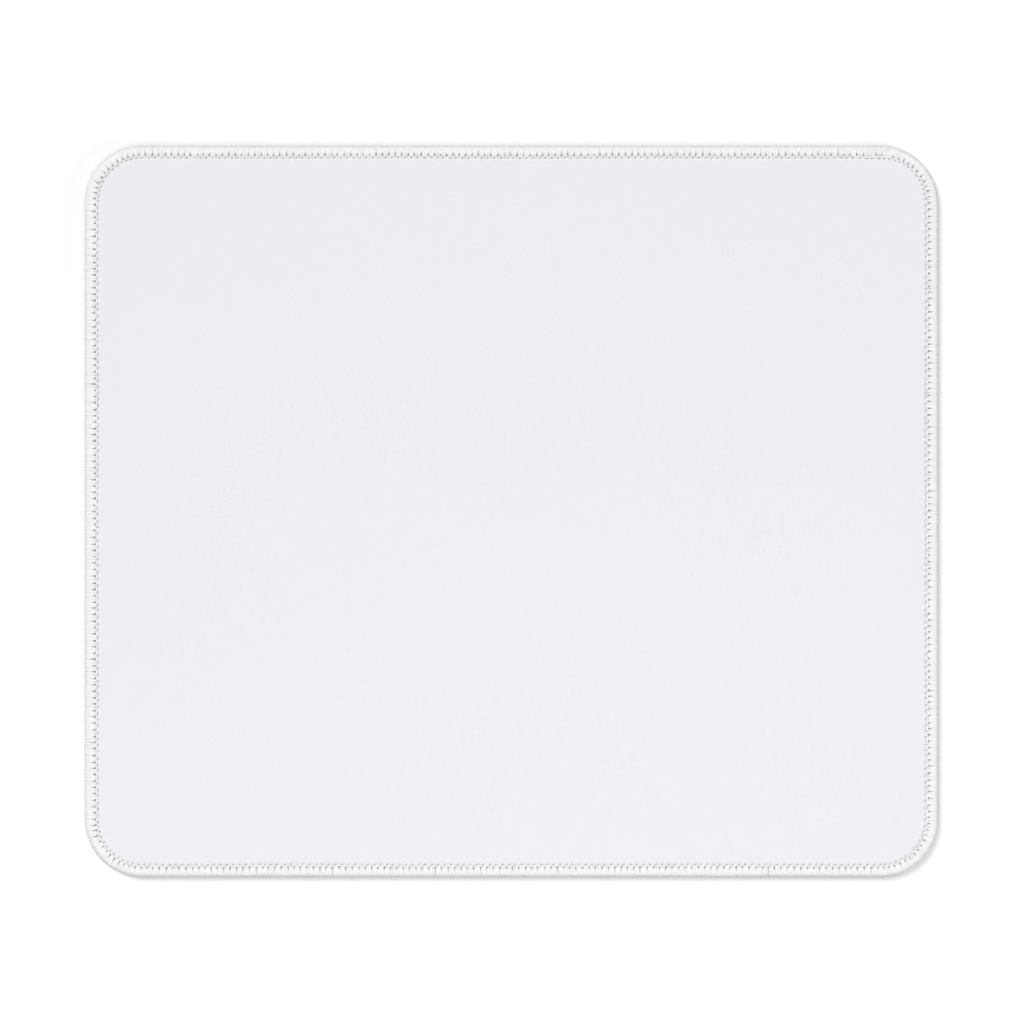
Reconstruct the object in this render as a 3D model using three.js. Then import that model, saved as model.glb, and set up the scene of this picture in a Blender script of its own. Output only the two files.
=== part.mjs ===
// Cloth mouse pad with an overlocked edge, lying flat on its rubber side.
// X is the long side, Y the short side and Z the thickness, in millimetres.
// The origin is the middle of the underside.
import * as THREE from 'three';

// Pad outline
const padLength = 280;
const padWidth = 240;
const cornerRadius = 19;

// Laminated sheets, from the desk up
const rubberThickness = 2.4;
const filmThickness = 0.1;
const clothThickness = 0.5;

// Overlock seam: needle holes at one pitch along a line set in from the edge
const stitchPitch = 2.1;
const seamInset = 3.6;
const needleYarn = 0.45;
const looperYarn = 0.45;
const ribDepth = 0.2;
const notchDepth = 0.9;
const threadClearance = 0.1;

// Edge of the sheets, trimmed back and squeezed so that the threads lie nearly flush
const trimInset = 0.75;
const stitchRise = 0.15;
const squeezeRun = 0.9;
const edgeRollWidth = 0.85;
const edgeRollShare = 0.6;

// Rounded outside of the thread bead
const beadRadius = 1.5;

// How finely the round corners and the long straight runs are divided
const cornerSteps = 7;
const stitchesPerBackingStep = 24;

// Heights of the sandwich and of its squeezed edge
const padThickness = rubberThickness + filmThickness + clothThickness;
const crestTop = padThickness + stitchRise;
const edgeTop = crestTop - looperYarn - threadClearance;
const edgeBottom = looperYarn + threadClearance;
const partingHeight = (edgeTop + edgeBottom) / 2;
const rollInset = trimInset + edgeRollWidth;
const edgeRollDrop = clothThickness * edgeRollShare;

// The squeezed floor runs a little past the needle thread before the cloth rises again
const floorInset = seamInset + needleYarn;
const flatInset = floorInset + squeezeRun;

// Length of the seam, and the pitch that fits it a whole number of times
const coreLength = padLength - 2 * cornerRadius;
const coreWidth = padWidth - 2 * cornerRadius;
const quarterTurn = Math.PI / 2;
const seamArc = (cornerRadius - seamInset) * quarterTurn;
const sides = [coreLength, coreWidth, coreLength, coreWidth];
const seamLength = 2 * (coreLength + coreWidth) + 4 * seamArc;
const stitchCount = Math.round(seamLength / stitchPitch);
const fittedPitch = seamLength / stitchCount;

// Centres of the round corners, anticlockwise from the corner at plus X, plus Y
const cornerSigns = [[1, 1], [-1, 1], [-1, -1], [1, -1]];
const cornerCentres = cornerSigns.map(([x, y]) => new THREE.Vector2(x * coreLength / 2, y * coreWidth / 2));

// A station is a centre to measure from and the outward angle, at a distance along the seam
function stationAt(distance) {
  let rest = distance;
  for (let k = 0; k < sides.length; k++) {
    const centre = cornerCentres[k];
    if (rest <= seamArc) {
      return { distance, centre, angle: (k + rest / seamArc) * quarterTurn };
    }
    rest -= seamArc;
    if (rest <= sides[k] || k === sides.length - 1) {
      const next = cornerCentres[(k + 1) % sides.length];
      return { distance, centre: centre.clone().lerp(next, rest / sides[k]), angle: (k + 1) * quarterTurn };
    }
    rest -= sides[k];
  }
}

// Stations for smooth surfaces: even steps round each corner, and long steps along each side
function smoothStations(longestStep) {
  const stations = [];
  let start = 0;
  for (const side of sides) {
    for (let j = 0; j < cornerSteps; j++) {
      stations.push(stationAt(start + seamArc * j / cornerSteps));
    }
    start += seamArc;
    const steps = Math.ceil(side / longestStep);
    for (let j = 0; j < steps; j++) {
      stations.push(stationAt(start + side * j / steps));
    }
    start += side;
  }
  return stations;
}

const sheetStations = smoothStations(Math.max(coreLength, coreWidth));
const backingStations = smoothStations(stitchesPerBackingStep * fittedPitch);

// Stations once a stitch: at the needle holes, or midway between two holes
function stitchStations(offsetShare) {
  return Array.from({ length: stitchCount }, (_, i) => stationAt((i + offsetShare) * fittedPitch));
}

const holeShare = 0.5;
const holeStations = stitchStations(holeShare);
const betweenStations = stitchStations(0);
const pairStations = betweenStations.filter((_, i) => i % 2 === 0);

// A line of points round the pad, each set in from the outline by inset, at height z
function lineOf(stations, inset, z) {
  return stations.map(({ distance, centre, angle }) => {
    const reach = cornerRadius - inset;
    return {
      distance,
      point: [centre.x + reach * Math.cos(angle), centre.y + reach * Math.sin(angle), z],
    };
  });
}

// A line that alternates between one place midway between the holes and one at the holes
function rippledLine(between, hole) {
  const valleys = lineOf(betweenStations, ...between);
  const crests = lineOf(holeStations, ...hole);
  return valleys.flatMap((valley, i) => [valley, crests[i]]);
}

// Joins two neighbouring lines with triangles, stepping along whichever line is behind
function joinLines(a, b, firstA, firstB, triangles) {
  const distanceOf = (line, i) => line[i % line.length].distance + (i < line.length ? 0 : seamLength);
  let i = 0;
  let j = 0;
  while (i < a.length || j < b.length) {
    const cornerA = firstA + i % a.length;
    const cornerB = firstB + j % b.length;
    if (j === b.length || (i < a.length && distanceOf(a, i + 1) <= distanceOf(b, j + 1))) {
      triangles.push(cornerA, firstA + (i + 1) % a.length, cornerB);
      i++;
    } else {
      triangles.push(cornerA, firstB + (j + 1) % b.length, cornerB);
      j++;
    }
  }
}

function geometryOf(lines, triangles) {
  const geometry = new THREE.BufferGeometry();
  const positions = lines.flat().flatMap(({ point }) => point);
  geometry.setAttribute('position', new THREE.Float32BufferAttribute(positions, 3));
  geometry.setIndex(triangles);
  geometry.computeVertexNormals();
  return geometry;
}

function firstIndices(lines) {
  let next = 0;
  return lines.map((line) => {
    const first = next;
    next += line.length;
    return first;
  });
}

// A closed band round the pad: the lines run once round its section, anticlockwise seen along the seam
function bandGeometry(lines) {
  const first = firstIndices(lines);
  const triangles = [];
  lines.forEach((line, k) => {
    const next = (k + 1) % lines.length;
    joinLines(line, lines[next], first[k], first[next], triangles);
  });
  return geometryOf(lines, triangles);
}

// A sheet: the profile runs from the flat underside, out to the cut edge and back to the flat top
function sheetGeometry(profile) {
  const lines = profile.map(([inset, z]) => lineOf(sheetStations, inset, z));
  const first = firstIndices(lines);
  const triangles = [];
  for (let k = 0; k + 1 < lines.length; k++) {
    joinLines(lines[k], lines[k + 1], first[k], first[k + 1], triangles);
  }
  const top = first[lines.length - 1];
  for (let i = 1; i + 1 < sheetStations.length; i++) {
    triangles.push(0, i + 1, i);
    triangles.push(top, top + i, top + i + 1);
  }
  return geometryOf(lines, triangles);
}

// The face between two sheets, from the cut edge to the flat middle, this far below the top of the cloth
function layerFace(depth) {
  return [
    [trimInset, edgeTop - depth],
    [floorInset, edgeTop - depth],
    [flatInset, padThickness - depth],
  ];
}

// The cloth and the rubber are rounded off where the trimmed edge rolls under the threads
function clothGeometry() {
  const top = [
    [trimInset, edgeTop - edgeRollDrop],
    [rollInset, edgeTop],
    [floorInset, edgeTop],
    [flatInset, padThickness],
  ];
  return sheetGeometry([...layerFace(clothThickness).reverse(), ...top]);
}

function filmGeometry() {
  const underside = layerFace(clothThickness + filmThickness).reverse();
  return sheetGeometry([...underside, ...layerFace(clothThickness)]);
}

function rubberGeometry() {
  const underside = [
    [flatInset, 0],
    [floorInset, edgeBottom],
    [rollInset, edgeBottom],
    [trimInset, edgeBottom + edgeRollDrop],
  ];
  return sheetGeometry([...underside, ...layerFace(clothThickness + filmThickness)]);
}

// Where the bead turns from its flat top to its round side, and how far in the ribs start to slope
const shoulderShare = 1 - Math.SQRT1_2;
const shoulder = beadRadius * shoulderShare;
const shoulderRib = ribDepth * Math.SQRT1_2;
const tipInset = seamInset - needleYarn / 2 - threadClearance;
const notchInset = tipInset - notchDepth;
const valleyInset = (notchInset + beadRadius) / 2;
const backInset = trimInset - threadClearance;

// Upper looper: tongues that reach the needle thread at each hole, ribs over the edge, one end at mid-edge
function upperLooperGeometry() {
  const back = edgeTop + threadClearance;
  const foot = partingHeight + threadClearance / 2;
  return bandGeometry([
    rippledLine([notchInset, back], [tipInset, back]),
    lineOf(backingStations, rollInset, back),
    lineOf(backingStations, backInset, back - edgeRollDrop),
    lineOf(backingStations, backInset, foot),
    lineOf(holeStations, 0, foot),
    rippledLine([shoulder + shoulderRib, crestTop - shoulder - shoulderRib], [shoulder, crestTop - shoulder]),
    rippledLine([valleyInset, crestTop - ribDepth], [notchInset, crestTop]),
  ]);
}

// Lower looper: the same wrap from below, lying in the squeezed edge of the rubber
function lowerLooperGeometry() {
  const back = edgeBottom - threadClearance;
  const head = partingHeight - threadClearance / 2;
  return bandGeometry([
    rippledLine([valleyInset, ribDepth], [notchInset, 0]),
    lineOf(holeStations, shoulder, shoulder),
    lineOf(backingStations, 0, head),
    lineOf(backingStations, backInset, head),
    lineOf(backingStations, backInset, back + edgeRollDrop),
    lineOf(backingStations, rollInset, back),
    lineOf(holeStations, tipInset, back),
  ]);
}

// Needle thread: it dips at each hole and rises between two holes
function needleThreadGeometry() {
  const foot = edgeTop + threadClearance;
  return bandGeometry([
    lineOf(pairStations, seamInset + needleYarn / 2, foot),
    lineOf(pairStations, seamInset - needleYarn / 2, foot),
    rippledLine([seamInset, foot + needleYarn], [seamInset, foot + ribDepth]),
  ]);
}

// Looks: pale cool cloth, milky film, charcoal foam rubber and white polyester yarn
const clothLook = { color: 0xefeef3, roughness: 0.9, metalness: 0 };
const filmLook = { color: 0xe6e2d6, roughness: 0.5, metalness: 0 };
const rubberLook = { color: 0x26272a, roughness: 0.85, metalness: 0 };
const threadLook = { color: 0xf5f5f5, roughness: 0.6, metalness: 0 };

function piece(name, geometry, look) {
  const mesh = new THREE.Mesh(geometry, new THREE.MeshStandardMaterial(look));
  mesh.name = name;
  return mesh;
}

const mousePad = new THREE.Group();
mousePad.name = 'mouse_pad';
mousePad.add(piece('cloth_top', clothGeometry(), clothLook));
mousePad.add(piece('bonding_film', filmGeometry(), filmLook));
mousePad.add(piece('rubber_base', rubberGeometry(), rubberLook));
mousePad.add(piece('needle_thread', needleThreadGeometry(), threadLook));
mousePad.add(piece('upper_looper_thread', upperLooperGeometry(), threadLook));
mousePad.add(piece('lower_looper_thread', lowerLooperGeometry(), threadLook));

export default mousePad;
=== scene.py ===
# %% [markdown]
# # A cloth mouse pad with an overlocked edge
# The real object is a laminate: a thin polyester cloth, a film of adhesive and a sheet of foam rubber.
# Its raw edge is bound by three threads in one overlock seam. The cloth field is nearly plain, so the
# eye goes to the stitches. This lesson builds each thread as a real yarn that follows its real path.

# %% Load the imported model
import math

import bpy
import numpy as np
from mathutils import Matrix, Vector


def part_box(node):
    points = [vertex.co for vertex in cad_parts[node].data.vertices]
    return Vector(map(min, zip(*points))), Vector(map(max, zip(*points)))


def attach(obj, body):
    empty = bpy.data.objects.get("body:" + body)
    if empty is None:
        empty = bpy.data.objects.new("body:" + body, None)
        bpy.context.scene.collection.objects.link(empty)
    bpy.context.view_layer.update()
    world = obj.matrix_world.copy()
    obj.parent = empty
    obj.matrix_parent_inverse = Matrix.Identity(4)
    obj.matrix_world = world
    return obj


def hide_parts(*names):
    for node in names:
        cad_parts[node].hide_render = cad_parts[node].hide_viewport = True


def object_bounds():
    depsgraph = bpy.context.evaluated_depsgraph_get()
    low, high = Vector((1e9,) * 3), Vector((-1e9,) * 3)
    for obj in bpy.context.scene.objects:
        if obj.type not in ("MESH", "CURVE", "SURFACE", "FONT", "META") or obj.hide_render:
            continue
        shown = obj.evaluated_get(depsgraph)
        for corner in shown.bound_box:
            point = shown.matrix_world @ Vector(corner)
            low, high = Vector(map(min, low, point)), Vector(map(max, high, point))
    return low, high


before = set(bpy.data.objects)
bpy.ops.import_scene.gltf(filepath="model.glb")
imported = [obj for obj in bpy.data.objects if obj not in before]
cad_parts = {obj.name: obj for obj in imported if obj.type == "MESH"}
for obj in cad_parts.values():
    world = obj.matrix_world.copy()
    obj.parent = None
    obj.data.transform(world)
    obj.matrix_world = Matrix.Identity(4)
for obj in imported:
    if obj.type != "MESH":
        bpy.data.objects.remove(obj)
cad_low, cad_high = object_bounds()
print("nodes:", sorted(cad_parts))
print("model box in metres:", [round(x, 5) for x in cad_high - cad_low])

# %% [markdown]
# ## Sizes
# The outline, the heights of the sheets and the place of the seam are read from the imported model, so the
# looks agree with it. What a box can't tell is written here: the corner radius, the spacing of the stitches
# and the yarns.

# %% Sizes taken from the model, and three that aren't in it
MM = 0.001
corner_radius = 19 * MM
stitch_pitch = 2.1 * MM
needle_yarn_width = 0.45 * MM

half_length = cad_high.x
half_width = cad_high.y
thread_top = cad_high.z
_, cloth_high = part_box("cloth_top")
_, film_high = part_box("bonding_film")
_, foam_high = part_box("rubber_base")
_, needle_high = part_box("needle_thread")

pad_top = cloth_high.z
film_top = film_high.z
foam_top = foam_high.z
trim_inset = half_length - cloth_high.x
seam_inset = half_length - needle_high.x + needle_yarn_width / 2
print("stitched border:", round(seam_inset / MM, 2), "mm wide")

# %% [markdown]
# ## Walking round the edge
# Everything at the edge repeats along the seam, so every point is written as three numbers: how far along
# the seam it lies, how far in from the outline, and how high. One function turns the first two into X and
# Y. On a round corner the same step along the seam is longer at the rim, as real stitches fan out there.
# The pad is fed by hand, so its seam isn't quite parallel to the rim: the same function lets it drift.
# The machine pulls near the rim, so round a corner the holes, which lie further in, come closer together.

# %% Places along the seam
quarter_turn = math.pi / 2
core_length = 2 * (half_length - corner_radius)
core_width = 2 * (half_width - corner_radius)
sides = [core_length, core_width, core_length, core_width]
seam_arc = (corner_radius - seam_inset) * quarter_turn
seam_length = sum(sides) + len(sides) * seam_arc
corner_signs = np.array([[1, 1], [-1, 1], [-1, -1], [1, -1]])
corner_centres = corner_signs * [core_length / 2, core_width / 2]


def walk(distance):
    """Where to measure from, the outward direction, and whether it is a corner, along the seam."""
    rest = np.mod(np.asarray(distance, float), seam_length)
    centre = np.zeros((rest.size, 2))
    angle = np.zeros(rest.size)
    on_corner = np.zeros(rest.size, bool)
    start = 0.0
    for k, side in enumerate(sides):
        here = corner_centres[k]
        step = corner_centres[(k + 1) % len(sides)] - here
        arc = (rest >= start) & (rest < start + seam_arc)
        centre[arc] = here
        angle[arc] = (k + (rest[arc] - start) / seam_arc) * quarter_turn
        on_corner |= arc
        start += seam_arc
        run = rest >= start
        centre[run] = here + np.clip((rest[run] - start) / side, 0, 1)[:, None] * step
        angle[run] = (k + 1) * quarter_turn
        start += side
    return centre, np.c_[np.cos(angle), np.sin(angle)], on_corner


def smooth_step(x):
    """From 0 to 1 as x does, but starting and ending level."""
    x = np.clip(x, 0, 1)
    return x * x * (3 - 2 * x)


left_middle = 2 * seam_arc + core_length + core_width / 2
left_drift = 0.30 * MM
sway_depth = 0.05 * MM
long_sways = 9
short_sways = 14


def drift(distance):
    """How much further in than planned the seam lies here: it sways a little, and is widest on the left."""
    on_left = smooth_step((core_width / 2 + seam_arc - np.abs(distance - left_middle)) / seam_arc)
    turns_round = 2 * np.pi * distance / seam_length
    sway = np.sin(long_sways * turns_round) + np.sin(short_sways * turns_round + 1)
    return left_drift * on_left + sway_depth * sway


def places(distance, inset, height):
    """Points in space, as rows of X, Y and Z."""
    distance = np.mod(np.asarray(distance, float), seam_length)
    centre, outward, _ = walk(distance)
    inset = inset + drift(distance) * smooth_step(inset / seam_inset)
    reach = corner_radius - inset
    xy = centre + reach[:, None] * outward
    return np.c_[xy, np.broadcast_to(height, len(xy))]


def fan_out(distance, inset):
    """How much wider than at the seam a stitch is at this inset, which is 1 on the straight sides."""
    _, _, on_corner = walk(distance)
    wider = (corner_radius - inset) / (corner_radius - seam_inset)
    return np.where(on_corner, wider, 1.0)


# %% How many stitches there are: a corner counts for more than its length, so it gets more of them
corner_pitch_share = 0.87
run_lengths = [length for side in sides for length in (seam_arc, side)]
feed_lengths = [length for side in sides for length in (seam_arc / corner_pitch_share, side)]
run_ends = np.r_[0, np.cumsum(run_lengths)]
feed_ends = np.r_[0, np.cumsum(feed_lengths)]
stitch_count = round(feed_ends[-1] / stitch_pitch)
pitch = feed_ends[-1] / stitch_count
print("seam:", round(seam_length / MM, 1), "mm with", stitch_count, "stitches")

# %% [markdown]
# ## The needle holes
# The pad is fed by hand, so no two stitches are quite alike. A seeded random generator moves each hole a
# little, and the same list of holes then places all three threads and every dimple in the cloth, so that
# nothing drifts apart.

# %% Hole positions along the seam
chance = np.random.default_rng(28)
hole_jitter_share = 0.13
holes = np.interp((np.arange(stitch_count) + 0.5) * pitch, feed_ends, run_ends)
holes = holes + chance.uniform(-hole_jitter_share, hole_jitter_share, stitch_count) * pitch
stitches = np.diff(holes) / MM
print("shortest and longest stitch:", stitches.min().round(2), "and", stitches.max().round(2), "mm")


def neighbours(positions, ring):
    """The hole before and after each one. A ring closes, and a short run goes on at the same pitch."""
    turn = seam_length if ring else 0.0
    before = np.r_[positions[-1] - turn if ring else positions[0] - pitch, positions[:-1]]
    after = np.r_[positions[1:], positions[0] + turn if ring else positions[-1] + pitch]
    return before, after


# %% [markdown]
# ## Meshes from rows of points
# A sheet and a yarn are both made of rows: each row is a ring of points, and neighbouring rows are joined
# with four-sided faces. Writing the points with numpy and the mesh once keeps this quick, even with a
# thousand legs of thread.

# %% Mesh helpers
def grid_faces(rows, columns, closed_rows, closed_columns):
    """Faces that join a grid of points, row after row."""
    i = np.arange(rows if closed_rows else rows - 1)[:, None]
    j = np.arange(columns if closed_columns else columns - 1)[None, :]
    a = i * columns + j
    b = i * columns + (j + 1) % columns
    c = (i + 1) % rows * columns + (j + 1) % columns
    d = (i + 1) % rows * columns + j
    return np.stack([a + 0 * j, b + 0 * i, c, d], axis=-1).reshape(-1, 4)


def new_piece(name, points, faces, smooth=True):
    """A mesh object in the scene, with smooth or flat shading."""
    mesh = bpy.data.meshes.new(name)
    mesh.from_pydata(points.tolist(), [], faces)
    mesh.update()
    if smooth:
        mesh.shade_smooth()
    piece = bpy.data.objects.new(name, mesh)
    bpy.context.scene.collection.objects.link(piece)
    return piece


# %% [markdown]
# ## The three sheets
# The cloth, the film and the foam share their faces, so one function gives the face between two sheets.
# The threads pull the edge down from above and up from below. Each needle hole draws the cloth into a small
# pit, and between two holes the cloth swells up against the needle thread, so that the pits show as a row
# of short dashes. Simulation could find these puckers, but they are regular and tiny, so a formula is
# quicker and keeps each pit where the needle went in.

# %% Squeezed and rolled edge
squeeze_top = 0.40 * MM
squeeze_bottom = 0.55 * MM
squeeze_run = 0.9 * MM
floor_inset = seam_inset + needle_yarn_width
flat_inset = floor_inset + squeeze_run
roll_width = 0.85 * MM
roll_drop = 0.3 * MM
mid_height = (pad_top - squeeze_top + squeeze_bottom) / 2


def squeeze(inset, full=floor_inset, none=flat_inset):
    """Share of the squeeze at this inset, from none on the flat field to all under the stitches."""
    return smooth_step((none - inset) / (none - full))


def roll(inset):
    """How far the trimmed edge rolls over, from its start to the cut."""
    share = np.clip((trim_inset + roll_width - inset) / roll_width, 0, 1)
    return roll_drop * (1 - np.sqrt(1 - share**2))


# %% Places on the sheets, six to each stitch and one of them at its hole
steps_per_stitch = 6
swell_range = (0.3, 1.0)
gape_range = (0.45, 1.0)
_, next_holes = neighbours(holes, True)
step_share = np.arange(steps_per_stitch) / steps_per_stitch
sheet_at = (holes[:, None] + (next_holes - holes)[:, None] * step_share).ravel()
stitch_turn = np.tile(2 * np.pi * step_share, stitch_count)
near_hole = 0.5 + 0.5 * np.cos(stitch_turn)
between_holes = 1 - near_hole
from_hole = pitch * np.tile(np.minimum(step_share, 1 - step_share), stitch_count)
from_middle = pitch / 2 - from_hole
swell = np.repeat(chance.uniform(*swell_range, stitch_count), steps_per_stitch)
gape = np.repeat(chance.uniform(*gape_range, stitch_count), steps_per_stitch)
print("places round each sheet:", len(sheet_at))


def spot(along, across, half_long, half_wide):
    """A soft round mark: 1 in its middle, fading to 0."""
    return np.exp(-((along / half_long) ** 2) - (across / half_wide) ** 2)


# %% Top of the cloth
# A ramp is where the cloth is fully squeezed and where it is back at its height. A size is how far a mark
# reaches along the seam and across it before it has faded to about a third.
hole_ramp = (seam_inset + 0.50 * MM, seam_inset + 1.50 * MM)
middle_ramp = (seam_inset - 0.15 * MM, seam_inset + 0.60 * MM)
pit_inset = seam_inset + 0.45 * MM
pit_depth = 0.32 * MM
pit_size = (0.34 * MM, 0.22 * MM)
notch_inset = seam_inset - 0.38 * MM
notch_depth = 0.16 * MM
notch_size = (0.40 * MM, 0.50 * MM)
pucker_inset = seam_inset + 1.00 * MM
pucker_height = 0.07 * MM
pucker_size = (0.60 * MM, 0.50 * MM)


def cloth_face(inset):
    """Height of the top of the cloth all round, at one inset."""
    squeezed = near_hole * squeeze(inset, *hole_ramp) + between_holes * squeeze(inset, *middle_ramp)
    pit = pit_depth * spot(from_hole, inset - pit_inset, *pit_size)
    notch = notch_depth * spot(from_middle, inset - notch_inset, *notch_size)
    pucker = pucker_height * swell * spot(from_middle, inset - pucker_inset, *pucker_size)
    return pad_top - squeeze_top * squeezed - roll(inset) - pit - notch + pucker


# %% How much painted shade the cloth gets in the gaps between stitches and in the needle pits
pit_painted_shade = 0.95
pit_shade_size = (0.34 * MM, 0.25 * MM)
notch_painted_shade = 0.92
notch_shade_size = (0.36 * MM, 0.44 * MM)


def cloth_painted_shade(inset):
    """Painted shade: 0 on open cloth, up to 1 in the gaps between stitches and in the needle pits."""
    pit = pit_painted_shade * gape * spot(from_hole, inset - pit_inset, *pit_shade_size)
    notch = notch_painted_shade * gape * spot(from_middle, inset - notch_inset, *notch_shade_size)
    return np.maximum(pit, notch)


# %% Underside of the foam, and the faces between the sheets
foam_pit_depth = 0.20 * MM
foam_pit_size = (0.42 * MM, 0.26 * MM)


def foam_underside(inset):
    """Height of the foam's underside all round, at one inset."""
    pit = foam_pit_depth * spot(from_hole, inset - pit_inset, *foam_pit_size)
    return squeeze_bottom * squeeze(inset) + roll(inset) + pit


def layer_face(inset, depth):
    """The face between two sheets, this far below the flat top."""
    return np.full(len(sheet_at), pad_top - depth - squeeze_top * squeeze(inset))


# %% Build one sheet from its faces
cloth_thickness = pad_top - film_top
film_thickness = film_top - foam_top
field_insets = np.array([14, 9, 7, 6.2, 5.7, 5.3]) * MM
pit_row_insets = np.array([4.95, 4.7, 4.5, 4.35, 4.22, 4.1, 3.97, 3.8]) * MM
stitch_insets = np.array([3.5, 3.25, 3.0, 2.75, 2.5, 2.1, 1.6, 1.1]) * MM
layer_insets = np.array([14, 5.7, 4.95, 4.5, 4.05]) * MM


def sheet(name, under, over):
    """A closed sheet: its underside outwards, then its top inwards, each a list of (inset, heights)."""
    rows = [places(sheet_at, inset, height) for inset, height in under + over[::-1]]
    columns = len(sheet_at)
    faces = grid_faces(len(rows), columns, False, True).tolist()
    last = (len(rows) - 1) * columns
    faces.append(list(range(columns))[::-1])
    faces.append(list(range(last, last + columns)))
    piece = new_piece(name, np.concatenate(rows), faces)
    print(name, "has", len(faces), "faces")
    return piece


def layer_rows(depth):
    """Rows of the face between two sheets, from the flat middle to the cut edge."""
    return [(inset, layer_face(inset, depth)) for inset in [*layer_insets, trim_inset]]


top_insets = [*field_insets, *pit_row_insets, *stitch_insets, trim_inset]
cloth_rows = [(inset, cloth_face(inset)) for inset in top_insets]
foam_rows = [(inset, foam_underside(inset)) for inset in top_insets]

cloth = sheet("cloth", layer_rows(cloth_thickness), cloth_rows)
film = sheet("adhesive_film", layer_rows(cloth_thickness + film_thickness), layer_rows(cloth_thickness))
foam = sheet("foam_rubber", foam_rows, layer_rows(cloth_thickness + film_thickness))

# %% Store the painted shade on the cloth, for its material
painted_shade_rows = [np.zeros(len(sheet_at))] * (len(layer_insets) + 1)
painted_shade_rows += [cloth_painted_shade(inset) for inset in top_insets[::-1]]
painted_shade_values = np.concatenate(painted_shade_rows).astype(np.float32)
painted_shade = cloth.data.attributes.new("painted_shade", "FLOAT", "POINT")
painted_shade.data.foreach_set("value", painted_shade_values)
# Counts the places with deep painted shade.
print("deeply creased places:", int((painted_shade_values > 0.5).sum()))

# %% [markdown]
# ## Yarns
# The binding threads are soft bundles of crimped polyester filaments. They flatten where they lie on the
# pad and round up where they turn. A curve with a bevel can't flatten from place to place, so a yarn is
# swept by hand: at each point of its path it gets a width, a thickness and the direction that faces out.

# %% Outlines of a cut through a yarn, from its right side over its top
def section(degrees, squareness):
    """Across and up of each corner of the cut, from -1 to 1: squareness 2 is an ellipse, more is boxier."""
    turn = np.radians(degrees)
    across = np.sign(np.cos(turn)) * np.abs(np.cos(turn)) ** (2 / squareness)
    up = np.sign(np.sin(turn)) * np.abs(np.sin(turn)) ** (2 / squareness)
    return np.c_[across, up, turn]


round_section = section([0, 45, 90, 135, 180, 225, 270, 315], 2.0)
flat_section = section([0, 28, 60, 90, 120, 152, 180, 270], 2.7)


# %% Sweep a yarn along its path
too_short = 1e-12


def unit(v):
    """Each row made one metre long."""
    return v / np.maximum(np.linalg.norm(v, axis=1, keepdims=True), too_short)


def sweep(points, facing, width, thickness, cut, ring):
    """Rings of points round a path, and for the material the place of each in its own strand."""
    ahead = np.roll(points, -1, axis=0)
    behind = np.roll(points, 1, axis=0)
    if not ring:
        ahead[-1] = points[-1]
        behind[0] = points[0]
    along = unit(ahead - behind)
    aside = unit(np.cross(along, facing))
    outward = np.cross(aside, along)
    across = aside[:, None] * (cut[None, :, :1] * width[:, None, None] / 2)
    up = outward[:, None] * (cut[None, :, 1:2] * thickness[:, None, None] / 2)
    rings = points[:, None] + across + up
    travelled = np.cumsum(np.linalg.norm(points - behind, axis=1))
    strand = np.empty(rings.shape)
    strand[..., 0] = np.cos(cut[:, 2])
    strand[..., 1] = np.sin(cut[:, 2])
    strand[..., 2] = travelled[:, None] / MM
    return rings.reshape(-1, 3), strand.reshape(-1, 3)


def yarn_piece(name, points, facing, width, thickness, cut, ring=True):
    """A yarn as an object: a ring closes on itself, and a short run gets two end faces."""
    rings, strand = sweep(points, facing, width, thickness, cut, ring)
    corners_round = len(cut)
    faces = grid_faces(len(points), corners_round, ring, True).tolist()
    if not ring:
        last = (len(points) - 1) * corners_round
        faces.append(list(range(corners_round))[::-1])
        faces.append(list(range(last, last + corners_round)))
    piece = new_piece(name, rings, faces)
    attribute = piece.data.attributes.new("strand", "FLOAT_VECTOR", "POINT")
    attribute.data.foreach_set("vector", strand.astype(np.float32).ravel())
    print(name, "has", len(faces), "faces and", round(strand[:, 2].max() * MM, 2), "m of thread")
    return piece


# %% [markdown]
# ## The looper threads
# On the top, the upper looper comes from the edge to the needle thread, turns round it at the hole and goes
# back to the edge. Seen from above each stitch is a narrow V that opens outwards, and its legs lie against
# the legs of the next stitch. The dark triangles along the seam are the gaps between two neighbouring Vs.
# Some stitches are drawn tighter than others, and there the gap runs on outwards as a short groove. The
# lower looper does the same below, and the two hook into each other half way up the edge.

# %% One leg, from its hole to the middle of the edge
# Each row is: distance outwards from the needle line, distance to the side of the hole, width, thickness,
# and how far the yarn's middle lies below the top of the bead.
yarn_thickness = 0.44 * MM
leg_overlap = 1.32
full_width = leg_overlap * pitch / 2
inner_rows = np.array(
    [
        [-0.26, 0.09, 0.36, 0.28, 0.55],
        [-0.04, 0.20, 0.42, 0.28, 0.55],
        [0.20, 0.28, 0.58, 0.34, 0.44],
        [0.46, 0.37, 0.80, 0.40, 0.30],
        [0.75, 0.43, 1.04, 0.43, 0.23],
        [1.10, 0.47, 1.17, 0.44, 0.22],
    ]
) * MM
bend_angles = np.radians([2, 22, 42, 60, 75, 88])
bend_run = 2.1 * MM
bend_reach = bend_run - yarn_thickness / 2
bend_top = thread_top - yarn_thickness / 2
inner_rows[:, 0] = seam_inset - inner_rows[:, 0]
inner_rows[:, 4] = thread_top - inner_rows[:, 4]
bend_rows = np.c_[
    bend_run - bend_reach * np.sin(bend_angles),
    pitch / 4 * np.array([0.90, 0.94, 1.0, 1.0, 1.0, 1.0]),
    full_width * np.array([1.0, 1.0, 1.0, 1.0, 0.94, 0.82]),
    yarn_thickness * np.array([1.0, 1.0, 1.0, 1.0, 0.95, 0.9]),
    mid_height + (bend_top - mid_height) * np.cos(bend_angles),
]
leg = np.concatenate([inner_rows, bend_rows])
leg_tilt = np.r_[np.full(len(inner_rows), quarter_turn), quarter_turn - bend_angles]
leg_share = np.linspace(0, 1, len(leg))
spread_share = leg[:, 1] / (pitch / 4)
parting_out = 1.15 * MM
parting_reach = 0.55 * MM
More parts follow.
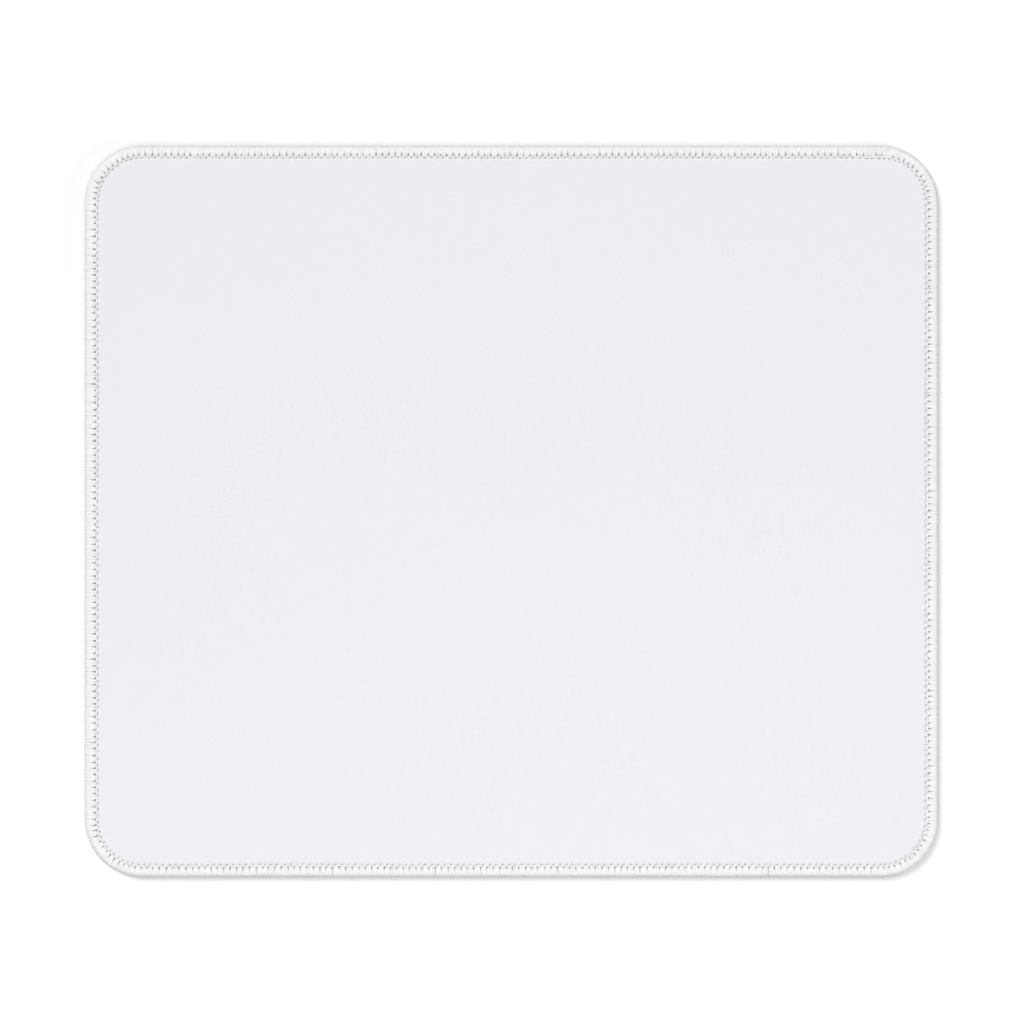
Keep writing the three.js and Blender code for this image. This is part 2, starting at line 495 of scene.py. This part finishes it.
parting_share = np.exp(-(((seam_inset - leg[:, 0] - parting_out) / parting_reach) ** 2))
print("one leg runs from inset", round(leg[0, 0] / MM, 2), "to", round(leg[-1, 0] / MM, 2), "mm")


# %% The turn at the edge, where one looper hooks round the other
hook_width = 0.42 * MM
hook_flatness = 0.85
hook_drop = 0.16 * MM
hook_tuck = 0.04 * MM


def hook_rows(turn_at, side):
    """Points, facing, width and thickness of the turns between two stitches."""
    _, outward, _ = walk(turn_at)
    inset = leg[-1, 0] + (1 - side) * hook_tuck
    points = places(turn_at, inset, mid_height - side * hook_drop)
    facing = np.c_[outward, np.zeros(len(turn_at))]
    size = np.full((len(turn_at), 1), hook_width)
    return points[:, None], facing[:, None], size, size * hook_flatness


# %% A run of V stitches
# No two stitches are alike. The first five values say by how much they vary: how low a leg lies, how wide
# it is, how far it wanders and slants along the seam as shares of the pitch, and how much two legs part at
# most. The last is the share of a leg, from its hole, over which a second pass reaches further in.
loft_depth = 0.08 * MM
bulk_spread = 0.06
wander_spread = 0.022
slant_spread = 0.03
widest_parting = 0.15
deeper_share = 0.5


def looper_rows(positions, side, random, ring=True, lift=0.0, deeper=0.0, lean=0.0, slimmer=1.0):
    """Points, facing, width and thickness of a looper thread: side is 1 on top and -1 underneath."""
    count = len(positions)
    before, after = neighbours(positions, ring)
    bulk = 1 + random.normal(0, bulk_spread, (count, 2))
    loft = random.uniform(0, loft_depth, (count, 2))
    wander = random.normal(0, wander_spread, (count, 2)) * pitch
    slant = (random.normal(0, slant_spread, count) + lean) * pitch
    parting = 1 - random.uniform(0, widest_parting, (count, 1)) * parting_share
    bow = np.sin(np.pi * leg_share)
    rows = []
    for k, (order, toward) in enumerate(((slice(None, None, -1), before), (slice(None), after))):
        room = (toward - positions) / 4
        share = leg_share[order]
        at = positions[:, None] + room[:, None] * spread_share[order] * parting[:, order]
        at = at + slant[:, None] * share + wander[:, k, None] * bow[order]
        reach_in = 1 - smooth_step(share / deeper_share)
        inset = leg[order, 0] + deeper * reach_in + 0 * at
        height = leg[order, 4] + lift - loft[:, k, None] * bow[order]
        if side < 0:
            height = np.maximum(2 * mid_height - height, yarn_thickness / 2)
        fan = fan_out(at.ravel(), inset.ravel()).reshape(at.shape)
        crowding = 4 * np.abs(room[:, None]) / pitch
        width = leg[order, 2] * bulk[:, k, None] * fan * crowding * slimmer * parting[:, order]
        thick = leg[order, 3] + 0 * at
        _, outward, _ = walk(at.ravel())
        tilt = np.broadcast_to(leg_tilt[order], at.shape).ravel()
        facing = np.c_[outward * np.cos(tilt)[:, None], side * np.sin(tilt)]
        points = places(at.ravel(), inset.ravel(), height.ravel())
        rows.append((points.reshape(*at.shape, 3), facing.reshape(*at.shape, 3), width, thick))
    rows.append(hook_rows((positions + after) / 2 + slant, side))
    points, facing, width, thick = (np.concatenate(part, axis=1) for part in zip(*rows))
    return points.reshape(-1, 3), facing.reshape(-1, 3), width.ravel(), thick.ravel()


upper_rows = looper_rows(holes, 1, np.random.default_rng(41))
lower_rows = looper_rows(holes, -1, np.random.default_rng(42))
upper_looper = yarn_piece("upper_looper_yarn", *upper_rows, flat_section)
lower_looper = yarn_piece("lower_looper_yarn", *lower_rows, flat_section)

# %% [markdown]
# ## The needle thread
# The needle thread lies over the legs from one hole to the next, dives through all the sheets, makes a
# small loop on the underside and comes back up through the same hole. Its short floats are pressed flat
# on the top, where they are the bright line between the two rows of dark marks.

# %% Path of the needle thread
needle_width = 0.43 * MM
needle_thickness = 0.38 * MM
float_share = np.array([0.05, 0.12, 0.22, 0.36, 0.50, 0.64, 0.78, 0.88, 0.95])
float_height = np.array([2.50, 2.80, 2.92, 2.95, 2.94, 2.95, 2.92, 2.80, 2.50]) * MM
dive_offset = np.array([-0.08, -0.07, -0.09, 0.0, 0.09, 0.07, 0.08]) * MM
dive_height = np.array([2.1, 1.3, 0.55, 0.28, 0.55, 1.3, 2.1]) * MM
dive_inset = np.array([0, 0, 0.05, 0.12, 0.05, 0, 0]) * MM
sway_middle = 0.09 * MM
sway_spread = 0.05 * MM
slack_range = (-0.05 * MM, 0.03 * MM)
surface_start = 2.3 * MM
surface_run = 0.5 * MM
lie_over = 0.85


def needle_rows(positions, random, ring=True, lift=0.0, deeper=0.0):
    """Points, facing, width and thickness of the needle thread."""
    count = len(positions)
    _, after = neighbours(positions, ring)
    float_at = positions[:, None] + (after - positions)[:, None] * float_share
    bow = np.sin(np.pi * float_share)
    sway = random.normal(sway_middle, sway_spread, (count, 1)) * bow
    slack = random.uniform(*slack_range, (count, 1)) * bow
    dive_at = after[:, None] + dive_offset
    at = np.concatenate([float_at, dive_at], axis=1).ravel()
    aside = np.concatenate([sway, dive_inset + 0 * dive_at], axis=1).ravel()
    inset = seam_inset + deeper + aside
    height = np.concatenate([float_height + slack + lift, dive_height + 0 * dive_at], axis=1).ravel()
    _, outward, _ = walk(at)
    on_top = smooth_step((height - surface_start) / surface_run)[:, None]
    facing = np.c_[outward * (1 - lie_over * on_top), on_top]
    width = np.full(len(at), needle_width)
    return places(at, inset, height), facing, width, np.full(len(at), needle_thickness)


first_pass_rows = needle_rows(holes, np.random.default_rng(43))
needle_yarn = yarn_piece("needle_yarn", *first_pass_rows, round_section)

# %% [markdown]
# ## The join
# Where the seam closes, near the right end of the top side, the machine sews a few stitches over its own
# start. They lie on top of the first pass, lean and reach a little further in, before the tail is trimmed.
# Two short yarns, made by the same functions, lay this second pass over the first. Its legs are slimmer,
# since they are stretched over a second layer, so the first pass shows between them.

# %% Second pass over the start of the seam
join_start = seam_arc - 1.9 * MM
join_holes = join_start + np.array([0.1, 1.0, 1.85, 2.75]) * pitch
join_lift = 0.18 * MM
join_deeper = 0.26 * MM
join_lean = 0.32
join_slimmer = 0.66
laid_over = {"ring": False, "lift": join_lift, "deeper": join_deeper}
leaning = {"lean": join_lean, "slimmer": join_slimmer}
join_legs = looper_rows(join_holes, 1, np.random.default_rng(44), **laid_over, **leaning)
join_floats = needle_rows(join_holes, np.random.default_rng(45), **laid_over)
join_looper = yarn_piece("join_looper_yarn", *join_legs, flat_section, ring=False)
join_needle = yarn_piece("join_needle_yarn", *join_floats, round_section, ring=False)

# %% [markdown]
# ## Finishes
# Colours are written as they look on screen and turned into the linear values that Blender mixes. Two
# effects serve several materials, so each is a node group with named inputs: a soft unevenness of tone,
# and the fine filaments that run along a yarn.

# %% Colour and node helpers
def screen_colour(red, green, blue):
    """Linear colour from screen values between 0 and 255."""
    values = np.array([red, green, blue]) / 255
    linear = np.where(values <= 0.04045, values / 12.92, ((values + 0.055) / 1.055) ** 2.4)
    return (*linear.tolist(), 1.0)


def plug(tree, socket, value):
    """Set an input by value, or link it from another node's output."""
    if isinstance(value, bpy.types.NodeSocket):
        tree.links.new(value, socket)
    else:
        socket.default_value = value


def plug_all(tree, made, inputs):
    """Plug several inputs of one node, each named with _ for a space."""
    for name, value in inputs.items():
        plug(tree, made.inputs[name.replace("_", " ")], value)
    return made


def node(tree, kind, **inputs):
    """A new node with some of its inputs plugged."""
    return plug_all(tree, tree.nodes.new(kind), inputs)


def maths(tree, operation, a, b=0.0):
    """The result of one operation on one or two numbers."""
    made = tree.nodes.new("ShaderNodeMath")
    made.operation = operation
    plug(tree, made.inputs[0], a)
    plug(tree, made.inputs[1], b)
    return made.outputs[0]


def noise(tree, where, scale, **more):
    """Soft noise around 0.5, with about this many waves to one unit of length."""
    return node(tree, "ShaderNodeTexNoise", Vector=where, Scale=scale, **more).outputs[0]


def parts_of(tree, vector):
    """X, Y and Z of a vector."""
    return list(node(tree, "ShaderNodeSeparateXYZ", Vector=vector).outputs)


# %% Shared effects as node groups
def node_group(name, inputs, outputs):
    """An empty group with float or vector inputs, each with its first value, and named outputs."""
    group = bpy.data.node_groups.new(name, "ShaderNodeTree")
    for label, kind, value in inputs:
        socket = group.interface.new_socket(label, in_out="INPUT", socket_type=kind)
        if value is not None:
            socket.default_value = value
    for label, kind in outputs:
        group.interface.new_socket(label, in_out="OUTPUT", socket_type=kind)
    return group, group.nodes.new("NodeGroupInput"), group.nodes.new("NodeGroupOutput")


def use_group(tree, group, **inputs):
    """One use of a group, with its inputs plugged."""
    made = tree.nodes.new("ShaderNodeGroup")
    made.node_tree = group
    return plug_all(tree, made, inputs)


# %% Uneven tone, for every soft surface
uneven_tone, tone_in, tone_out = node_group(
    "uneven_tone",
    [
        ("Position", "NodeSocketVector", None),
        ("Patches per metre", "NodeSocketFloat", 20.0),
        ("Specks per metre", "NodeSocketFloat", 1500.0),
        ("Patch strength", "NodeSocketFloat", 0.03),
        ("Speck strength", "NodeSocketFloat", 0.03),
    ],
    [("Tone", "NodeSocketFloat")],
)
tone_sum = 1.0
for what, many, detail in (("Patch", "Patches", 3.0), ("Speck", "Specks", 2.0)):
    scale = tone_in.outputs[f"{many} per metre"]
    waves = noise(uneven_tone, tone_in.outputs["Position"], scale, Detail=detail)
    around_zero = maths(uneven_tone, "SUBTRACT", waves, 0.5)
    part = maths(uneven_tone, "MULTIPLY", around_zero, tone_in.outputs[f"{what} strength"])
    tone_sum = maths(uneven_tone, "ADD", part, tone_sum)
uneven_tone.links.new(tone_sum, tone_out.inputs["Tone"])
print("group:", uneven_tone.name)

# %% Filaments along a yarn, for all three threads
filaments, strand_in, strand_out = node_group(
    "filaments",
    [
        ("Strand", "NodeSocketVector", None),
        ("Filaments round", "NodeSocketFloat", 5.0),
        ("Crimps per mm", "NodeSocketFloat", 0.8),
        ("Twist per mm", "NodeSocketFloat", 0.4),
        ("Ply depth", "NodeSocketFloat", 0.3),
    ],
    [("Height", "NodeSocketFloat"), ("Shade", "NodeSocketFloat")],
)
shade_depth = 0.14
shade_base = 0.93
given = strand_in.outputs
along = parts_of(filaments, given["Strand"])[2]
twist_angle = maths(filaments, "MULTIPLY", along, given["Twist per mm"])
turned = node(filaments, "ShaderNodeVectorRotate", Vector=given["Strand"], Angle=twist_angle)
turned.rotation_type = "Z_AXIS"
across, up, _ = parts_of(filaments, turned.outputs[0])
stretched = node(
    filaments,
    "ShaderNodeCombineXYZ",
    X=maths(filaments, "MULTIPLY", across, given["Filaments round"]),
    Y=maths(filaments, "MULTIPLY", up, given["Filaments round"]),
    Z=maths(filaments, "MULTIPLY", along, given["Crimps per mm"]),
)
hairs = noise(filaments, stretched.outputs[0], 1.0, Detail=3.0, Roughness=0.6)
across_squared = maths(filaments, "MULTIPLY", across, across)
up_squared = maths(filaments, "MULTIPLY", up, up)
two_lobes = maths(filaments, "SUBTRACT", across_squared, up_squared)
plies = maths(filaments, "MULTIPLY", two_lobes, given["Ply depth"])
relief = maths(filaments, "ADD", hairs, plies)
filaments.links.new(relief, strand_out.inputs["Height"])
# Painted shade: the yarn's colour is darker where its filaments and plies lie lower.
shade = maths(filaments, "ADD", maths(filaments, "MULTIPLY", relief, shade_depth), shade_base)
filaments.links.new(shade, strand_out.inputs["Shade"])
print("group:", filaments.name)


# %% A material with a Principled shader to plug into
def new_material(name, roughness):
    """A material, its node tree and its Principled shader."""
    material = bpy.data.materials.new(name)
    material.use_nodes = True
    tree = material.node_tree
    shader = tree.nodes["Principled BSDF"]
    shader.inputs["Roughness"].default_value = roughness
    return material, tree, shader


def tinted(tree, colour, *tones):
    """The colour, made lighter or darker by one or more tones around 1."""
    tone = tones[0]
    for other in tones[1:]:
        tone = maths(tree, "MULTIPLY", tone, other)
    scaled = tree.nodes.new("ShaderNodeVectorMath")
    scaled.operation = "SCALE"
    scaled.inputs[0].default_value = colour[:3]
    tree.links.new(tone, scaled.inputs["Scale"])
    return scaled.outputs[0]


def toned(tree, where, patches, specks):
    """The uneven tone here. Patches and specks are each how many there are to a metre, and how strong."""
    group = use_group(
        tree,
        uneven_tone,
        Position=where,
        Patches_per_metre=patches[0],
        Patch_strength=patches[1],
        Specks_per_metre=specks[0],
        Speck_strength=specks[1],
    )
    return group.outputs["Tone"]


def wave(tree, along, length):
    """A sine that repeats once in this length."""
    return maths(tree, "SINE", maths(tree, "MULTIPLY", along, 2 * math.pi / length))


def bumped(tree, shader, height, distance, strength):
    """Give the shader a relief this high, from a height between 0 and 1."""
    bump = node(tree, "ShaderNodeBump", Height=height, Distance=distance, Strength=strength)
    tree.links.new(bump.outputs[0], shader.inputs["Normal"])


# %% [markdown]
# ### The mousing cloth
# The face is a very fine plain weave, pressed flat so that a mouse glides on it. Its threads are about a
# quarter of a millimetre apart, which no camera at this distance resolves. It still matters: the weave
# takes the shine off the surface and shows when the view comes close. Waves at right angles give it: long
# ones for the over and under of the threads, and short ones for the ridge of each thread.

# %% Cloth material
cloth_colour = screen_colour(240, 239, 244)
# The grey and the strength of the painted shade between stitches and in the needle pits.
painted_shade_colour = screen_colour(120, 120, 121)
painted_shade_cover = 0.66
weave_pitch = 0.28 * MM
weave_relief = 0.03 * MM
weave_contrast = 0.012
thread_ridges = 0.25

cloth_finish, tree, shader = new_material("mousing_cloth", roughness=0.86)
where = node(tree, "ShaderNodeTexCoord").outputs["Object"]
x, y, _ = parts_of(tree, where)
over_under = maths(tree, "MULTIPLY", wave(tree, x, 2 * weave_pitch), wave(tree, y, 2 * weave_pitch))
ridges = maths(tree, "ADD", wave(tree, x, weave_pitch), wave(tree, y, weave_pitch))
weave = maths(tree, "ADD", maths(tree, "MULTIPLY", ridges, thread_ridges), over_under)
# Painted shade: the weave's hollows are a little darker and its ridges a little lighter.
weave_shade = maths(tree, "ADD", maths(tree, "MULTIPLY", weave, weave_contrast), 1.0)
tone = toned(tree, where, patches=(14.0, 0.012), specks=(2500.0, 0.03))
# Painted shade: the stored attribute mixes the cloth towards grey in the gaps between stitches and in the
# needle pits.
painted_shade_attribute = tree.nodes.new("ShaderNodeAttribute")
painted_shade_attribute.attribute_name = "painted_shade"
painted_shade_mix = tree.nodes.new("ShaderNodeMix")
painted_shade_mix.data_type = "RGBA"
plug(tree, painted_shade_mix.inputs["Factor"], maths(tree, "MULTIPLY", painted_shade_attribute.outputs["Fac"], painted_shade_cover))
plug(tree, painted_shade_mix.inputs["A"], tinted(tree, cloth_colour, tone, weave_shade))
plug(tree, painted_shade_mix.inputs["B"], painted_shade_colour)
tree.links.new(painted_shade_mix.outputs["Result"], shader.inputs["Base Color"])
bumped(tree, shader, weave, weave_relief, strength=0.35)
shader.inputs["Sheen Weight"].default_value = 0.06
cloth.data.materials.append(cloth_finish)
print("finished:", cloth.name)

# %% [markdown]
# ### The threads
# Textured polyester is white with a soft lustre. Its filaments catch the light as fine lines along each
# leg, so the strand attribute that was stored with the mesh drives a noise stretched along the yarn.

# %% Thread materials
looper_colour = screen_colour(249, 249, 249)
needle_colour = screen_colour(252, 252, 252)
crimps_per_mm = 0.9


def thread_material(name, colour, relief, **fibre_inputs):
    """White yarn: its fibres shade it and stand up by the relief."""
    material, tree, shader = new_material(name, roughness=0.62)
    strand = tree.nodes.new("ShaderNodeAttribute")
    strand.attribute_name = "strand"
    place_in_strand = strand.outputs["Vector"]
    fibres = use_group(tree, filaments, Strand=place_in_strand, Crimps_per_mm=crimps_per_mm, **fibre_inputs)
    where = node(tree, "ShaderNodeTexCoord").outputs["Object"]
    tone = toned(tree, where, patches=(60.0, 0.02), specks=(900.0, 0.03))
    tint = tinted(tree, colour, fibres.outputs["Shade"], tone)
    tree.links.new(tint, shader.inputs["Base Color"])
    bumped(tree, shader, fibres.outputs["Height"], relief, strength=0.8)
    shader.inputs["Specular IOR Level"].default_value = 0.35
    shader.inputs["Sheen Weight"].default_value = 0.15
    return material


looper_finish = thread_material(
    "looper_thread",
    looper_colour,
    relief=0.12 * MM,
    Filaments_round=6.0,
    Twist_per_mm=0.35,
    Ply_depth=0.10,
)
needle_finish = thread_material(
    "needle_thread",
    needle_colour,
    relief=0.08 * MM,
    Filaments_round=3.0,
    Twist_per_mm=3.6,
    Ply_depth=0.45,
)
for piece in (upper_looper, lower_looper, join_looper):
    piece.data.materials.append(looper_finish)
    print("finished:", piece.name)
for piece in (needle_yarn, join_needle):
    piece.data.materials.append(needle_finish)
    print("finished:", piece.name)

# %% [markdown]
# ### Film and foam rubber
# The film only shows if the edge is cut open, so it stays simple. The foam rubber is charcoal, and its
# underside carries the small raised diamonds that keep such a pad from sliding. They are a tenth of a
# millimetre high, so bump is enough, and the grooves between them get a little painted shade.

# %% Film material
film_colour = screen_colour(232, 228, 214)
film_finish, tree, shader = new_material("adhesive_film", roughness=0.45)
where = node(tree, "ShaderNodeTexCoord").outputs["Object"]
tone = toned(tree, where, patches=(80.0, 0.10), specks=(1200.0, 0.08))
tree.links.new(tinted(tree, film_colour, tone), shader.inputs["Base Color"])
film.data.materials.append(film_finish)
print("finished:", film.name)

# %% Foam material
foam_colour = screen_colour(40, 41, 44)
diamond_pitch = 1.7 * MM
diamond_flatness = 2.2
groove_shade = 0.65
tread_contrast = 0.45
tread_relief = 0.12 * MM
pore_scale = 4500.0
pore_share = 0.18

foam_finish, tree, shader = new_material("foam_rubber", roughness=0.80)
where = node(tree, "ShaderNodeTexCoord").outputs["Object"]
x, y, _ = parts_of(tree, where)
diagonal_wave = 2 * math.sqrt(2) * diamond_pitch
rising = maths(tree, "ABSOLUTE", wave(tree, maths(tree, "ADD", x, y), diagonal_wave))
falling = maths(tree, "ABSOLUTE", wave(tree, maths(tree, "SUBTRACT", x, y), diagonal_wave))
diamonds = maths(tree, "MULTIPLY", maths(tree, "MINIMUM", rising, falling), diamond_flatness)
tread = maths(tree, "MINIMUM", diamonds, 1.0)
# Painted shade: the grooves between the diamonds are darker.
tread_shade = maths(tree, "ADD", maths(tree, "MULTIPLY", tread, tread_contrast), groove_shade)
pores = noise(tree, where, pore_scale, Detail=2.0)
relief = maths(tree, "ADD", tread, maths(tree, "MULTIPLY", pores, pore_share))
tone = toned(tree, where, patches=(25.0, 0.20), specks=(3000.0, 0.25))
tree.links.new(tinted(tree, foam_colour, tone, tread_shade), shader.inputs["Base Color"])
bumped(tree, shader, relief, tread_relief, strength=0.8)
foam.data.materials.append(foam_finish)
print("finished:", foam.name)

# %% [markdown]
# ## Tying the pieces to the model
# Each piece takes the place of one solid of the imported model and rides on the only body.

# %% Ride and replace
for piece, replaced, finish_slot in [
    (cloth, "cloth_top", "cloth"),
    (film, "bonding_film", "film"),
    (foam, "rubber_base", "foam_rubber"),
    (needle_yarn, "needle_thread", "thread"),
    (upper_looper, "upper_looper_thread", "thread"),
    (lower_looper, "lower_looper_thread", "thread"),
]:
    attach(piece, "root")
    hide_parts(replaced)
for piece in (join_looper, join_needle):
    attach(piece, "root")

# %% [markdown]
# ## Table, light and camera
# The photograph looks straight down on a white ground. Its shadow is short and lies on the right and below,
# so the main light stands at the upper left. All round, the rim of the pad is a little darker than its top,
# so most light came from overhead and hardly any from the ground. Four lights give that: a sky that is
# bright overhead and dim at the horizon, a key at the upper left, a low fill that keeps the right rim from
# going dark, and a small lamp overhead, nearer the bottom edge, where the photograph is a little lighter.
#
# The table is white to the camera, and to rays mirrored or passed on by a piece, and dark to all others.
# The lamps stay at a level where a colour renders about as it is written.

# %% Who sees the white background
def seen_directly(tree):
    """1 for the camera and for reflected or transmitted rays, 0 for the light that falls on the pad."""
    rays = node(tree, "ShaderNodeLightPath").outputs
    seen_or_mirrored = maths(tree, "MAXIMUM", rays["Is Camera Ray"], rays["Is Glossy Ray"])
    return maths(tree, "MAXIMUM", seen_or_mirrored, rays["Is Transmission Ray"])


# %% Table
table_size = 4.0
table_drop = 0.05 * MM
table_white = 0.97
table_glow = 0.128
table_bounce = 0.09
corners = np.array([[-1, -1, 0], [1, -1, 0], [1, 1, 0], [-1, 1, 0]]) * table_size / 2
table = new_piece("table", corners - [0, 0, table_drop], [[0, 1, 2, 3]], smooth=False)

table_finish = bpy.data.materials.new("white_table")
table_finish.use_nodes = True
tree = table_finish.node_tree
tree.nodes.clear()
seen = seen_directly(tree)
grey = maths(tree, "ADD", maths(tree, "MULTIPLY", seen, table_white - table_bounce), table_bounce)
grey_colour = node(tree, "ShaderNodeCombineXYZ", X=grey, Y=grey, Z=grey).outputs[0]
matt = node(tree, "ShaderNodeBsdfDiffuse", Color=grey_colour)
glow = node(tree, "ShaderNodeEmission", Strength=maths(tree, "MULTIPLY", seen, table_glow))
both = tree.nodes.new("ShaderNodeAddShader")
tree.links.new(matt.outputs[0], both.inputs[0])
tree.links.new(glow.outputs[0], both.inputs[1])
table_output = tree.nodes.new("ShaderNodeOutputMaterial")
tree.links.new(both.outputs[0], table_output.inputs["Surface"])
table.data.materials.append(table_finish)
print("table:", table_size, "m wide")

# %% World and lamps
world = bpy.data.worlds.new("studio")
bpy.context.scene.world = world
world.use_nodes = True
tree = world.node_tree
background = tree.nodes["Background"]
horizon_level = 0.02
overhead_extra = 0.82
overhead_focus = 2.9
up = parts_of(tree, node(tree, "ShaderNodeTexCoord").outputs["Generated"])[2]
overhead = maths(tree, "POWER", maths(tree, "MAXIMUM", up, 0.0), overhead_focus)
sky = maths(tree, "ADD", maths(tree, "MULTIPLY", overhead, overhead_extra), horizon_level)
plug(tree, background.inputs["Strength"], maths(tree, "MAXIMUM", sky, seen_directly(tree)))
background.inputs["Color"].default_value = (1.0, 1.0, 1.0, 1.0)


def new_lamp(name, kind, place, **settings):
    """A lamp that points at the middle of the pad."""
    data = bpy.data.lights.new(name, kind)
    for setting, value in settings.items():
        setattr(data, setting, value)
    lamp = bpy.data.objects.new(name, data)
    bpy.context.scene.collection.objects.link(lamp)
    lamp.location = place
    x, y, z = place
    lamp.rotation_euler = (math.atan2(math.hypot(x, y), z), 0, math.atan2(x, -y))


new_lamp("key", "SUN", (-0.52, 0.54, 0.66), energy=2.00, angle=math.radians(34))
new_lamp("low_fill", "SUN", (0.84, -0.49, 0.23), energy=1.34, angle=math.radians(16))
new_lamp("front_fill", "AREA", (0.04, -0.30, 0.7), energy=0.76, shape="SQUARE", size=0.3)

# %% [markdown]
# The camera stands straight above the pad. The pad is 280 mm long and fills 853 of the picture's 1024
# pixels, which gives the width that the picture covers and so the camera's height. Its middle lies about
# half a pixel off the middle of the picture, so the camera moves that far to the side.

# %% Camera
photo_side = 1024
pad_in_photo = 853
pad_off_middle = (-0.5, 0.65)
lens = 100.0
sensor = 36.0
picture_width = 2 * half_length * photo_side / pad_in_photo
camera_data = bpy.data.cameras.new("camera")
camera_data.lens = lens
camera_data.sensor_width = sensor
camera_data.clip_start = 0.01
camera_data.clip_end = 20.0
camera = bpy.data.objects.new("camera", camera_data)
bpy.context.scene.collection.objects.link(camera)
pixel = picture_width / photo_side
camera_height = thread_top / 2 + picture_width * lens / sensor
camera.location = (-pad_off_middle[0] * pixel, -pad_off_middle[1] * pixel, camera_height)
bpy.context.scene.camera = camera
bpy.context.scene.view_settings.view_transform = "Standard"
print("camera height:", round(camera.location.z, 3), "m")
